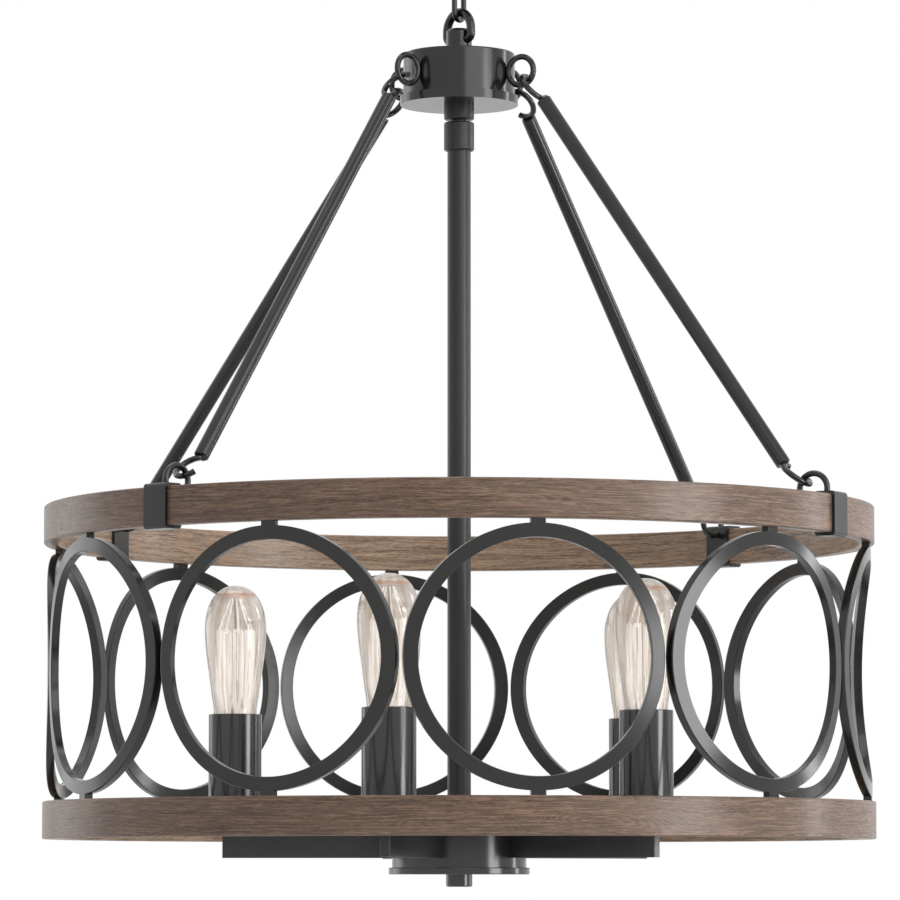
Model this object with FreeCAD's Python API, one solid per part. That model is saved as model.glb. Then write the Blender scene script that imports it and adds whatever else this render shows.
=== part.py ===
import FreeCAD, Part
import math
import os

# Drum chandelier, in millimetres. Z is up and z = 0 is the ceiling.
# Azimuths are in degrees from the front (-Y) towards +X.
# A piece is made in the X-Z plane, with X pointing away from the lamp's axis, and is then turned to its azimuth.

# Clearances
hang_clearance = 0.35
twist_clearance = 0.9
thread_clearance = 0.15
bore_clearance = 0.3
weld_bite = 0.8

# Threaded tube and its nuts
nipple_diameter = 10.0
nipple_bore = 6.6
nut_across_flats = 14.0
nut_thickness = 4.0

# Ceiling canopy
canopy_diameter = 127.0
canopy_depth = 26.0
canopy_wall = 1.2
canopy_edge_radius = 7.0
cord_hole_diameter = 9.0
cord_hole_offset = 26.0
crossbar_length = 108.0
crossbar_width = 20.0
crossbar_thickness = 2.5
mount_hole_spacing = 88.9
mount_hole_diameter = 4.4
collar_diameter = 20.0
collar_height = 12.0
collar_thread_depth = 9.0
canopy_ring_radius = 10.0
canopy_ring_wire = 5.0

# Chain
link_wire = 3.8
link_length = 40.0
link_inner_width = 8.0
link_lower_azimuth = 148.0
link_upper_azimuth = link_lower_azimuth - 90.0
canopy_ring_azimuth = link_lower_azimuth

# Hub
loop_wire = 6.0
loop_rise = 19.0
loop_side_gap = 0.8
loop_corner_radius = 3.6
loop_azimuth = 40.0
post_diameter = 17.5
post_height = 17.0
post_chamfer = 1.6
post_thread_depth = 5.0
loop_hole_height = 9.7
hub_diameter = 76.0
hub_height = 29.4
hub_wall = 1.5
hub_edge_radius = 1.2
plate_diameter = 80.2
plate_height = 5.9
plate_thickness = 2.0
eye_outer_diameter = 23.5
eye_wire = 4.0
hub_eye_height = 13.6
hub_eye_seat = 0.35

# Downrod
neck_diameter = 20.5
neck_length = 10.0
neck_gap = 1.9
neck_chamfer = 0.8
coupling_diameter = 20.6
coupling_length = 19.4
coupling_thread_depth = 9.0
downrod_diameter = 15.9
downrod_bore = 10.4
lead_diameter = 4.2
lead_bend = 10.0
window_width = 5.0
terminal_inner_radius = 20.0
terminal_outer_radius = 28.0
terminal_height = 20.0
hub_lead_height = 15.0

# Drum
hub_to_drum = 275.9
hoop_outer_radius = 280.0
hoop_thickness = 10.4
hoop_height = 25.0
hoop_chamfer = 0.7
ring_least_gap = 1.0
first_ring_azimuth = 10.3
ring_outer_diameter = 166.8
ring_face = 9.0
ring_thickness = 5.6
ring_post_width = 9.6
ring_post_height = 2.9
ring_stud_diameter = 4.0
ring_stud_length = 10.0

# Clamps and hanging rods
clamp_azimuths = (-43.5, 61.8, 136.5, -117.8)
hub_eye_azimuths = (-44.5, 58.0, 134.5, -128.5)
clamp_width = 20.0
clamp_sheet = 2.0
clamp_gap = 0.15
clamp_corner_radius = 2.4
clamp_eye_inset = 5.0
clamp_eye_rise = 2.65
rod_diameter = 10.0
rod_chamfer = 0.6
hook_wire = 4.0
hook_radius = 10.4
upper_pull_angle = 50.0
lower_pull_angle = 38.0
upper_hook_tail = 37.0
upper_hook_return = 26.0
lower_hook_tail = 24.0
lower_hook_return = 56.0

# Light cluster
box_diameter = 90.5
box_height = 34.0
box_wall = 1.5
box_drop = 19.1
cover_diameter = 95.0
cover_thickness = 4.5
cover_edge_radius = 0.5
finial_diameter = 17.8
finial_height = 8.3
finial_thread_depth = 6.0
finial_chamfer = 0.8
box_nipple_grip = 20.0
box_lead_drop = 12.0
socket_count = 5
first_socket_azimuth = -17.5
socket_circle_radius = 151.0
arm_width = 7.0
arm_height = 24.0
arm_wall = 0.8
arm_overhang = 8.3
arm_raise = 6.5
arm_edge_radius = 0.8
arm_lead_diameter = 2.6
arm_lead_bend = 16.0
arm_lead_raise = 4.2
stud_diameter = 5.0
stud_bore = 3.2
stud_grip = 4.0
stud_length = 16.0

# Sockets and bulbs
socket_diameter = 35.7
socket_length = 72.5
socket_wall = 1.0
socket_edge_chamfer = 0.3
lampholder_gap = 0.3
lampholder_drop = 4.0
lampholder_floor = 8.0
pedestal_diameter = 18.0
base_diameter = 26.0
base_length = 24.0
base_groove_depth = 0.7
base_groove_count = 5
base_contact_diameter = 9.0
base_contact_length = 2.5
base_rim = 3.0
bulb_neck_radius = 14.5
bulb_waist_radius = 16.6
bulb_waist_height = 17.0
bulb_radius = 20.8
bulb_wide_height = 57.0
bulb_height = 86.9
bulb_crown_fullness = 0.73
bulb_wall = 0.8
stem_radius = 9.0
stem_neck_radius = 3.2
stem_height = 26.0
filament_wire = 0.9
filament_cage_radius = 7.5
filament_count = 8
filament_low = 22.0
filament_high = 74.0
filament_plate = 0.9

# Heights, worked out from the ceiling down
canopy_bottom = -canopy_depth
collar_bottom = canopy_bottom - collar_height
canopy_ring_z = collar_bottom - canopy_ring_radius - canopy_ring_wire / 2 + weld_bite
canopy_ring_low = canopy_ring_z - canopy_ring_radius
link_pitch = link_length - link_wire
link_upper_top = canopy_ring_low + canopy_ring_wire / 2 + hang_clearance + link_wire / 2
link_upper_low = link_upper_top - link_pitch
link_lower_top = link_upper_low + link_wire + hang_clearance
link_lower_low = link_lower_top - link_pitch
loop_top = link_lower_low + link_wire / 2 + hang_clearance + loop_wire / 2
loop_low = loop_top - loop_rise
hub_top = loop_low - loop_hole_height
hub_bottom = hub_top - hub_height
plate_bottom = hub_bottom - plate_height
plate_floor = plate_bottom + plate_thickness
neck_bottom = plate_bottom - neck_length
coupling_top = neck_bottom - neck_gap
coupling_bottom = coupling_top - coupling_length
downrod_top = coupling_top - coupling_thread_depth - thread_clearance
hoop_gap = ring_outer_diameter + 2 * ring_post_height
drum_top = plate_bottom - hub_to_drum
upper_hoop_bottom = drum_top - hoop_height
lower_hoop_top = upper_hoop_bottom - hoop_gap
drum_bottom = lower_hoop_top - hoop_height
box_bottom = drum_bottom - box_drop
box_top = box_bottom + box_height
cover_bottom = box_bottom - cover_thickness
arm_bottom = box_bottom + arm_raise
arm_top = arm_bottom + arm_height
socket_floor = arm_top + socket_wall
socket_top = arm_top + socket_length
lampholder_top = socket_top - lampholder_drop
lampholder_seat = lampholder_top - base_length - base_contact_length - bore_clearance

# Radii and points shared by several pieces
nipple_radius = nipple_diameter / 2
nipple_hole_radius = nipple_radius + thread_clearance
hub_radius = hub_diameter / 2
hoop_inner_radius = hoop_outer_radius - hoop_thickness
hoop_mid_radius = hoop_outer_radius - hoop_thickness / 2
ring_middle_z = upper_hoop_bottom - hoop_gap / 2
ring_outer_radius = ring_outer_diameter / 2
ring_inner_wall = hoop_mid_radius - ring_thickness / 2
ring_outer_wall = hoop_mid_radius + ring_thickness / 2
ring_half_angle = math.asin((ring_outer_radius + ring_least_gap / 2) / ring_inner_wall)
ring_count = math.floor(math.pi / ring_half_angle)
eye_radius = (eye_outer_diameter - eye_wire) / 2
box_radius = box_diameter / 2
arm_reach = socket_circle_radius + arm_overhang
arm_lead_z = arm_bottom + arm_wall + arm_lead_raise
hub_lead_z = plate_floor + hub_lead_height
box_lead_z = box_top - box_wall - box_lead_drop
hub_eye_r = hub_radius + eye_outer_diameter / 2 - hub_eye_seat
hub_eye_z = hub_bottom + hub_eye_height
clamp_inner_face = hoop_inner_radius - clamp_gap - clamp_sheet
clamp_top_face = drum_top + clamp_gap + clamp_sheet
clamp_eye_r = clamp_inner_face - clamp_eye_inset
clamp_eye_z = clamp_top_face + clamp_eye_rise
socket_azimuths = [first_socket_azimuth + 360.0 / socket_count * k for k in range(socket_count)]
ring_azimuths = [first_ring_azimuth + 360.0 / ring_count * k for k in range(ring_count)]

UP = FreeCAD.Vector(0, 0, 1)
OUT = FreeCAD.Vector(1, 0, 0)
SIDE = FreeCAD.Vector(0, 1, 0)


def at(r, z, side=0.0):
    """A point in the radial plane: r from the axis, height z, and side along the rim."""
    return FreeCAD.Vector(r, side, z)


def turned(shape, azimuth):
    """A copy of a shape turned from the X-Z plane to its azimuth."""
    copy = shape.copy()
    copy.rotate(FreeCAD.Vector(), UP, azimuth - 90.0)
    return copy


def turned_point(point, azimuth):
    """A point turned from the X-Z plane to its azimuth."""
    return FreeCAD.Rotation(UP, azimuth - 90.0).multVec(point)


def rod_between(start, end, radius):
    """A round bar between two points."""
    return Part.makeCylinder(radius, (end - start).Length, start, end - start)


def tube(outer, inner, low, high):
    """An upright tube on the axis."""
    body = Part.makeCylinder(outer, high - low, at(0, low))
    return body.cut(Part.makeCylinder(inner, high - low, at(0, low)))


def revolved(points):
    """A full turn about Z of a closed outline, given as (r, z) points."""
    corners = [at(r, z) for r, z in points]
    return Part.Face(Part.makePolygon(corners + corners[:1])).revolve(FreeCAD.Vector(), UP, 360)


def rounded_outline(r0, r1, z0, z1, radius):
    """A closed rectangle with round corners in the radial plane."""
    box = Part.makeBox(r1 - r0, 1.0, z1 - z0, at(r0, z0))
    corners = [edge for edge in box.Edges if abs(edge.tangentAt(edge.FirstParameter).y) > 0.5]
    solid = box.makeFillet(radius, corners)
    flat = [face for face in solid.Faces if face.normalAt(0, 0).y < -0.5][0]
    return flat.OuterWire


def wire_arc(centre, first, second, radius, start, end, wire):
    """A round wire bent to an arc. Angles run in degrees from direction first towards direction second."""
    normal = first.cross(second)
    spoke = FreeCAD.Rotation(normal, start).multVec(first)
    disc = Part.Face(Part.Wire(Part.makeCircle(wire / 2, centre + spoke * radius, spoke.cross(normal))))
    return disc.revolve(centre, normal, end - start)


def fused(first, *others):
    """One solid from pieces that are welded or bent from one bar."""
    return first.multiFuse(list(others)).removeSplitter()


def hex_nut(low):
    """A lock nut on the axis, with its lower face at a height."""
    corner = nut_across_flats / 2 / math.cos(math.pi / 6)
    angles = [math.pi / 3 * k for k in range(6)]
    points = [at(corner * math.cos(a), low, corner * math.sin(a)) for a in angles]
    blank = Part.Face(Part.makePolygon(points + points[:1])).extrude(UP * nut_thickness)
    return blank.cut(Part.makeCylinder(nipple_hole_radius, nut_thickness, at(0, low)))


def threaded_tube(low, high):
    """A length of hollow threaded tube on the axis."""
    return tube(nipple_radius, nipple_bore / 2, low, high)


def lead_window(middle):
    """The cutter for the slot in a threaded tube's wall, where a lead bends in."""
    height = 2 * lead_diameter + window_width
    return Part.makeBox(nipple_diameter, window_width, height, at(0, middle - height / 2, -window_width / 2))


def canopy():
    """Ceiling cup, open at the top, with holes for its threaded tube and the supply cord."""
    outer = Part.makeCylinder(canopy_diameter / 2, canopy_depth, at(0, canopy_bottom))
    outer = outer.makeFillet(canopy_edge_radius, [edge for edge in outer.Edges if edge.BoundBox.ZMax < -1])
    inner = Part.makeCylinder(canopy_diameter / 2 - canopy_wall, canopy_depth - canopy_wall,
                              at(0, canopy_bottom + canopy_wall))
    inner_radius = canopy_edge_radius - canopy_wall
    inner = inner.makeFillet(inner_radius, [edge for edge in inner.Edges if edge.BoundBox.ZMax < -1])
    shell = outer.cut(inner)
    centre_hole = Part.makeCylinder(nipple_hole_radius, canopy_depth, at(0, canopy_bottom))
    cord_hole = Part.makeCylinder(cord_hole_diameter / 2, canopy_depth, at(0, canopy_bottom, cord_hole_offset))
    return shell.cut(centre_hole).cut(cord_hole)


def crossbar():
    """Strap that screws to the ceiling box and carries the threaded tube."""
    strap = Part.makeBox(crossbar_length, crossbar_width, crossbar_thickness,
                         at(-crossbar_length / 2, -crossbar_thickness, -crossbar_width / 2))
    for r, radius in ((0, nipple_hole_radius), (-mount_hole_spacing / 2, mount_hole_diameter / 2),
                      (mount_hole_spacing / 2, mount_hole_diameter / 2)):
        strap = strap.cut(Part.makeCylinder(radius, crossbar_thickness, at(r, -crossbar_thickness)))
    return strap


def canopy_loop():
    """Screw collar that holds the canopy up, with the ring that carries the chain."""
    collar = tube(collar_diameter / 2, nipple_hole_radius, canopy_bottom - collar_thread_depth, canopy_bottom)
    floor = Part.makeCylinder(collar_diameter / 2, collar_height - collar_thread_depth, at(0, collar_bottom))
    ring = Part.makeTorus(canopy_ring_radius, canopy_ring_wire / 2, at(0, canopy_ring_z), SIDE)
    return turned(fused(collar, floor, ring), canopy_ring_azimuth)


def chain_link(low, azimuth):
    """One chain link, upright, with its lowest wire centred at a height."""
    half = (link_inner_width + link_wire) / 2
    low_bend = wire_arc(at(0, low + half), OUT, -UP, half, 0, 180, link_wire)
    high_bend = wire_arc(at(0, low + link_pitch - half), OUT, UP, half, 0, 180, link_wire)
    legs = [rod_between(at(r, low + half), at(r, low + link_pitch - half), link_wire / 2) for r in (-half, half)]
    return turned(fused(low_bend, high_bend, *legs), azimuth)


def hub_loop():
    """Closed loop through the post's cross hole: straight below, round above."""
    half = post_diameter / 2 + loop_side_gap + loop_wire / 2
    corner = loop_corner_radius
    shoulder = loop_top - half
    pieces = [rod_between(at(corner - half, loop_low), at(half - corner, loop_low), loop_wire / 2)]
    pieces.append(wire_arc(at(0, shoulder), OUT, UP, half, 0, 180, loop_wire))
    for way in (-1, 1):
        pieces.append(wire_arc(at(way * (half - corner), loop_low + corner), OUT * way, -UP,
                               corner, 0, 90, loop_wire))
        pieces.append(rod_between(at(way * half, loop_low + corner), at(way * half, shoulder), loop_wire / 2))
    return turned(fused(*pieces), loop_azimuth)


def hub_post():
    """Post on the hub's top, with the loop's cross hole and a blind thread below."""
    post = Part.makeCylinder(post_diameter / 2, post_height, at(0, hub_top))
    post = post.makeChamfer(post_chamfer, [edge for edge in post.Edges if edge.BoundBox.ZMin > loop_low])
    hole = Part.makeCylinder(loop_wire / 2 + bore_clearance, post_diameter, at(-post_diameter / 2, loop_low), OUT)
    thread = Part.makeCylinder(nipple_hole_radius, post_thread_depth, at(0, hub_top))
    return turned(post.cut(hole).cut(thread), loop_azimuth)


def hub_cup():
    """Upper shell of the hub, open below, with a hole for the supply cord."""
    outer = Part.makeCylinder(hub_radius, hub_height, at(0, hub_bottom))
    outer = outer.makeFillet(hub_edge_radius, [edge for edge in outer.Edges if edge.BoundBox.ZMin > hub_bottom + 1])
    shell = outer.cut(Part.makeCylinder(hub_radius - hub_wall, hub_height - hub_wall, at(0, hub_bottom)))
    centre_hole = Part.makeCylinder(nipple_hole_radius, hub_height, at(0, hub_bottom))
    cord_hole = Part.makeCylinder(cord_hole_diameter / 2, hub_height, at(0, hub_bottom, cord_hole_offset))
    return shell.cut(centre_hole).cut(cord_hole)


def hub_plate():
    """Base plate of the hub: a shallow pan whose rim carries the cup."""
    pan = Part.makeCylinder(plate_diameter / 2, plate_height, at(0, plate_bottom))
    pan = pan.cut(Part.makeCylinder(hub_radius - hub_wall, plate_height - plate_thickness, at(0, plate_floor)))
    return pan.cut(Part.makeCylinder(nipple_hole_radius, plate_thickness, at(0, plate_bottom)))


def hub_eye(azimuth):
    """Wire eye welded to the hub's wall."""
    ring = Part.makeTorus(eye_radius, eye_wire / 2, at(hub_eye_r, hub_eye_z), SIDE)
    wall = Part.makeCylinder(hub_radius, hub_height, at(0, hub_bottom))
    return turned(ring.cut(wall), azimuth)


def hub_nipple():
    """Threaded tube from the post, through the hub and the neck, into the coupling."""
    body = threaded_tube(coupling_top - coupling_thread_depth, hub_top + post_thread_depth - thread_clearance)
    return body.cut(lead_window(hub_lead_z))


def box_nipple():
    """Threaded tube from the downrod, through the wiring box and its cover, into the finial."""
    body = threaded_tube(cover_bottom - finial_thread_depth + thread_clearance, box_top + box_nipple_grip)
    return body.cut(lead_window(box_lead_z))


def terminal_ring(low, high):
    """Insulating ring where the leads are joined."""
    return tube(terminal_outer_radius, terminal_inner_radius, low, high)


def lock_nuts():
    """The four nuts of the hub and the wiring box."""
    heights = (hub_top - hub_wall - nut_thickness, plate_floor, box_top - box_wall - nut_thickness, box_bottom)
    return [hex_nut(low) for low in heights]


def neck():
    """Round neck under the hub's plate."""
    body = Part.makeCylinder(neck_diameter / 2, neck_length, at(0, neck_bottom))
    body = body.makeChamfer(neck_chamfer, [edge for edge in body.Edges if edge.BoundBox.ZMax < plate_bottom - 1])
    return body.cut(Part.makeCylinder(nipple_hole_radius, neck_length, at(0, neck_bottom)))


def coupling():
    """Screwed coupling between the hub's threaded tube and the downrod."""
    body = Part.makeCylinder(coupling_diameter / 2, coupling_length, at(0, coupling_bottom))
    ends = [edge for edge in body.Edges if abs(edge.tangentAt(edge.FirstParameter).z) < 0.5]
    body = body.makeChamfer(neck_chamfer, ends)
    body = body.cut(Part.makeCylinder(nipple_hole_radius, coupling_length, at(0, coupling_bottom)))
    seat_depth = coupling_length - coupling_thread_depth
    return body.cut(Part.makeCylinder(downrod_diameter / 2 + thread_clearance, seat_depth, at(0, coupling_bottom)))


def downrod():
    """Tube from the coupling down to the wiring box."""
    return tube(downrod_diameter / 2, downrod_bore / 2, box_top, downrod_top)


def downrod_lead():
    """Lead from the hub's terminal ring, down the axis, to the terminal ring in the wiring box."""
    high_bend = wire_arc(at(lead_bend, hub_lead_z - lead_bend), -OUT, UP, lead_bend, 0, 90, lead_diameter)
    low_bend = wire_arc(at(lead_bend, box_lead_z + lead_bend), -OUT, -UP, lead_bend, 0, 90, lead_diameter)
    run_end = math.sqrt(terminal_inner_radius ** 2 - (lead_diameter / 2) ** 2)
    runs = [rod_between(at(lead_bend, z), at(run_end, z), lead_diameter / 2) for z in (hub_lead_z, box_lead_z)]
    drop = rod_between(at(0, box_lead_z + lead_bend), at(0, hub_lead_z - lead_bend), lead_diameter / 2)
    return fused(high_bend, low_bend, drop, *runs)


def wiring_box():
    """Round box under the downrod, open below, with a lead hole for each arm."""
    outer = Part.makeCylinder(box_radius, box_height, at(0, box_bottom))
    shell = outer.cut(Part.makeCylinder(box_radius - box_wall, box_height - box_wall, at(0, box_bottom)))
    shell = shell.cut(Part.makeCylinder(nipple_hole_radius, box_height, at(0, box_bottom)))
    hole = Part.makeCylinder(arm_lead_diameter / 2 + bore_clearance, box_radius, at(0, arm_lead_z), OUT)
    return shell.cut(Part.makeCompound([turned(hole, azimuth) for azimuth in socket_azimuths]))


def box_cover():
    """Disc that closes the wiring box from below."""
    disc = Part.makeCylinder(cover_diameter / 2, cover_thickness, at(0, cover_bottom))
    rims = [edge for edge in disc.Edges if abs(edge.tangentAt(edge.FirstParameter).z) < 0.5]
    disc = disc.makeFillet(cover_edge_radius, rims)
    return disc.cut(Part.makeCylinder(nipple_hole_radius, cover_thickness, at(0, cover_bottom)))


def finial():
    """Cap nut that holds the cover."""
    cap = Part.makeCylinder(finial_diameter / 2, finial_height, at(0, cover_bottom - finial_height))
    cap = cap.makeChamfer(finial_chamfer, [edge for edge in cap.Edges if edge.BoundBox.ZMax < cover_bottom - 1])
    thread_low = cover_bottom - finial_thread_depth
    return cap.cut(Part.makeCylinder(nipple_hole_radius, finial_thread_depth, at(0, thread_low)))


def arm():
    """Flat hollow arm on edge, from the wiring box to under a socket, closed at its outer end."""
    bar = Part.makeBox(arm_reach, arm_width, arm_height, at(0, arm_bottom, -arm_width / 2))
    rims = [edge for edge in bar.Edges if edge.BoundBox.XMin > 1 and edge.BoundBox.ZLength > 1]
    bar = bar.makeFillet(arm_edge_radius, rims)
    inside = Part.makeBox(arm_reach - arm_wall, arm_width - 2 * arm_wall, arm_height - 2 * arm_wall,
                          at(0, arm_bottom + arm_wall, arm_wall - arm_width / 2))
    stud_hole = Part.makeCylinder(stud_diameter / 2 + thread_clearance, 2 * arm_wall,
                                  at(socket_circle_radius, arm_top - 2 * arm_wall))
    root = Part.makeCylinder(box_radius, 2 * arm_height, at(0, arm_bottom - arm_height / 2))
    return bar.cut(inside).cut(stud_hole).cut(root)


def arm_lead():
    """Lead from the box's terminal ring, along the arm and up into the lampholder."""
    turn = socket_circle_radius - arm_lead_bend
    run = rod_between(at(terminal_outer_radius, arm_lead_z), at(turn, arm_lead_z), arm_lead_diameter / 2)
    bend = wire_arc(at(turn, arm_lead_z + arm_lead_bend), -UP, OUT, arm_lead_bend, 0, 90, arm_lead_diameter)
    rise = rod_between(at(socket_circle_radius, arm_lead_z + arm_lead_bend),
                       at(socket_circle_radius, lampholder_seat - lampholder_floor), arm_lead_diameter / 2)
    return fused(run, bend, rise)


def on_socket(shape):
    """A piece made on the lamp's axis, moved out to the socket circle."""
    shape.translate(OUT * socket_circle_radius)
    return shape


def socket_stud():
    """Hollow stud that holds a lampholder and its cover to the arm."""
    low = arm_top - stud_grip
    return on_socket(tube(stud_diameter / 2, stud_bore / 2, low, low + stud_length))


def socket_cover():
    """Tall cup round the lampholder."""
    outer = Part.makeCylinder(socket_diameter / 2, socket_length, at(0, arm_top))
    rims = [edge for edge in outer.Edges if abs(edge.tangentAt(edge.FirstParameter).z) < 0.5]
    outer = outer.makeChamfer(socket_edge_chamfer, rims)
    cup = outer.cut(Part.makeCylinder(socket_diameter / 2 - socket_wall, socket_length, at(0, socket_floor)))
    stud_hole = Part.makeCylinder(stud_diameter / 2 + thread_clearance, socket_wall, at(0, arm_top))
    return on_socket(cup.cut(stud_hole))


def lampholder():
    """Insulating holder: a cup for the bulb's base on a pedestal over the stud."""
    radius = socket_diameter / 2 - socket_wall - lampholder_gap
    low = lampholder_seat - lampholder_floor
    cup = Part.makeCylinder(radius, lampholder_top - low, at(0, low))
    cup = cup.cut(Part.makeCylinder(base_diameter / 2 + bore_clearance, lampholder_top - lampholder_seat,
                                    at(0, lampholder_seat)))
    pedestal = Part.makeCylinder(pedestal_diameter / 2, low - socket_floor, at(0, socket_floor))
    stud_top = arm_top - stud_grip + stud_length
    pedestal = pedestal.cut(Part.makeCylinder(stud_diameter / 2 + thread_clearance, stud_top - socket_floor,
                                              at(0, socket_floor)))
    pedestal = pedestal.cut(Part.makeCylinder(stud_bore / 2, low - socket_floor, at(0, socket_floor)))
    return on_socket(fused(cup, pedestal))


def bulb_base():
    """Screw base of a bulb: a grooved shell with a foot contact and a rim to seat the glass."""
    low = lampholder_top - base_length
    pitch = (base_length - base_rim) / base_groove_count
    points = [(0, low)]
    for k in range(base_groove_count):
        points.append((base_diameter / 2 - base_groove_depth, low + pitch * k))
        points.append((base_diameter / 2, low + pitch * (k + 0.5)))
    points.append((base_diameter / 2 - base_groove_depth, low + pitch * base_groove_count))
    points += [(base_diameter / 2, lampholder_top), (0, lampholder_top)]
    contact = Part.makeCone(base_contact_diameter / 3, base_contact_diameter / 2, base_contact_length,
                            at(0, low - base_contact_length))
    return on_socket(fused(revolved(points), contact))


def bulb_outline(inset):
    """Half outline of the bulb's glass, moved in by an inset, as edges from the neck to the crown."""
    neck = at(base_diameter / 2 - inset, lampholder_top)
    collar = at(bulb_neck_radius - inset, socket_top)
    waist = at(bulb_waist_radius - inset, socket_top + bulb_waist_height)
    wide_z = socket_top + bulb_wide_height
    wide = at(bulb_radius - inset, wide_z)
    side = Part.BSplineCurve()
    side.interpolate(Points=[collar, waist, wide], InitialTangent=UP, FinalTangent=UP)
    rise = bulb_height - bulb_wide_height - inset
    crown_point = at(0, wide_z + rise)
    shoulder = at((bulb_radius - inset) * bulb_crown_fullness, wide_z + rise * bulb_crown_fullness)
    crown = Part.BSplineCurve()
    crown.interpolate(Points=[wide, shoulder, crown_point], InitialTangent=UP, FinalTangent=-OUT)
    return [Part.LineSegment(neck, collar).toShape(), side.toShape(), crown.toShape()]


def bulb_body(inset):
    """Solid turned from the bulb's outline."""
    edges = bulb_outline(inset)
    crown_point = edges[-1].Vertexes[-1].Point
    foot = at(0, lampholder_top)
    edges.append(Part.LineSegment(crown_point, foot).toShape())
    edges.append(Part.LineSegment(foot, edges[0].Vertexes[0].Point).toShape())
    return Part.Face(Part.Wire(edges)).revolve(FreeCAD.Vector(), UP, 360)


def bulb_glass():
    """Clear tapered glass with a round crown, open at its neck."""
    return on_socket(bulb_body(0.0).cut(bulb_body(bulb_wall)))


def bulb_filament():
    """Glass stem with a centre post and a cage of upright filaments between two small plates."""
    foot = lampholder_top
    low, high = socket_top + filament_low, socket_top + filament_high
    stem = Part.makeCone(stem_radius, stem_neck_radius, stem_height, at(0, foot))
    post = Part.makeCylinder(filament_wire, high - foot, at(0, foot))
    plates = [Part.makeCylinder(filament_cage_radius + filament_wire, filament_plate, at(0, z))
              for z in (low, high - filament_plate)]
    wires = []
    for k in range(filament_count):
        angle = 2 * math.pi * k / filament_count
        start = at(filament_cage_radius * math.cos(angle), low, filament_cage_radius * math.sin(angle))
        wires.append(Part.makeCylinder(filament_wire / 2, high - low, start))
    return on_socket(fused(stem, post, *plates, *wires))


def hoop(low, stud_face, stud_way):
    """Wooden hoop with blind holes for the ring studs in one face."""
    c = hoop_chamfer
    high = low + hoop_height
    band = revolved([(hoop_inner_radius + c, low), (hoop_outer_radius - c, low), (hoop_outer_radius, low + c),
                     (hoop_outer_radius, high - c), (hoop_outer_radius - c, high), (hoop_inner_radius + c, high),
                     (hoop_inner_radius, high - c), (hoop_inner_radius, low + c)])
    depth = ring_stud_length + bore_clearance
    hole = Part.makeCylinder(ring_stud_diameter / 2 + thread_clearance, depth,
                             at(hoop_mid_radius, stud_face), UP * stud_way)
    return band.cut(Part.makeCompound([turned(hole, azimuth) for azimuth in ring_azimuths]))


def drum_ring():
    """Ring of flat bar bent to the drum's curve, with its two posts and studs."""
    blank = Part.makeCylinder(ring_outer_radius, hoop_outer_radius, at(0, ring_middle_z), OUT)
    posts = Part.makeBox(hoop_thickness, ring_post_width, hoop_gap,
                         at(hoop_inner_radius, ring_middle_z - hoop_gap / 2, -ring_post_width / 2))
    hole = Part.makeCylinder(ring_outer_radius - ring_face, hoop_outer_radius, at(0, ring_middle_z), OUT)
    shell = tube(ring_outer_wall, ring_inner_wall, ring_middle_z - hoop_gap / 2, ring_middle_z + hoop_gap / 2)
    body = fused(blank, posts).cut(hole).common(shell)
    length = hoop_gap + 2 * ring_stud_length
    stud = Part.makeCylinder(ring_stud_diameter / 2, length, at(hoop_mid_radius, ring_middle_z - length / 2))
    window = Part.makeCylinder(ring_outer_radius - ring_face / 2, hoop_outer_radius, at(0, ring_middle_z), OUT)
    return fused(body, stud.cut(window))


def clamp(azimuth):
    """Band closed round the upper hoop, with the welded eye that a rod hooks into."""
    outer_edge = hoop_outer_radius + clamp_gap + clamp_sheet
    low_face = upper_hoop_bottom - clamp_gap - clamp_sheet
    outline = rounded_outline(clamp_inner_face, outer_edge, low_face, clamp_top_face, clamp_corner_radius)
    space = rounded_outline(hoop_inner_radius - clamp_gap, hoop_outer_radius + clamp_gap,
                            upper_hoop_bottom - clamp_gap, drum_top + clamp_gap, clamp_corner_radius - clamp_sheet)
    spread = math.degrees(clamp_width / hoop_outer_radius)
    block = Part.Face(outline).revolve(FreeCAD.Vector(), UP, spread)
    opening = Part.Face(space).revolve(FreeCAD.Vector(), UP, spread)
    for shape in (block, opening):
        shape.rotate(FreeCAD.Vector(), UP, -spread / 2)
    eye = Part.makeTorus(eye_radius, eye_wire / 2, at(clamp_eye_r, clamp_eye_z), SIDE)
    return turned(fused(block.cut(opening), eye.cut(block)), azimuth)


def hanging_rod(hub_azimuth, clamp_azimuth):
    """Straight rod with an open hook welded to each end: one in the hub's eye, one in the clamp's eye."""
    hook_room = hook_radius - hook_wire / 2 - eye_wire / 2
    upper_seat = hook_room - hang_clearance
    lower_seat = hook_room - twist_clearance
    weld = hook_radius + hook_wire / 2 - weld_bite
    up_angle, low_angle = math.radians(upper_pull_angle), math.radians(lower_pull_angle)
    to_hub = at(-math.cos(up_angle), math.sin(up_angle))
    to_drum = at(math.cos(low_angle), -math.sin(low_angle))
    hub_bearing = at(hub_eye_r, hub_eye_z) - to_hub * eye_radius
    drum_bearing = at(clamp_eye_r, clamp_eye_z) - to_drum * eye_radius
    start = turned_point(hub_bearing - to_hub * (upper_seat + weld), hub_azimuth)
    end = turned_point(drum_bearing - to_drum * (lower_seat + weld), clamp_azimuth)
    bar = rod_between(start, end, rod_diameter / 2)
    rims = [edge for edge in bar.Edges if edge.Curve.TypeId == "Part::GeomCircle"]
    bar = bar.makeChamfer(rod_chamfer, rims)
    upper = wire_arc(hub_bearing - to_hub * upper_seat, -to_hub, -SIDE, hook_radius,
                     -upper_hook_tail, 180 + upper_hook_return, hook_wire)
    lower = wire_arc(drum_bearing - to_drum * lower_seat, -to_drum, -SIDE, hook_radius,
                     -lower_hook_tail, 180 + lower_hook_return, hook_wire)
    return fused(bar, turned(upper, hub_azimuth), turned(lower, clamp_azimuth))


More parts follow.
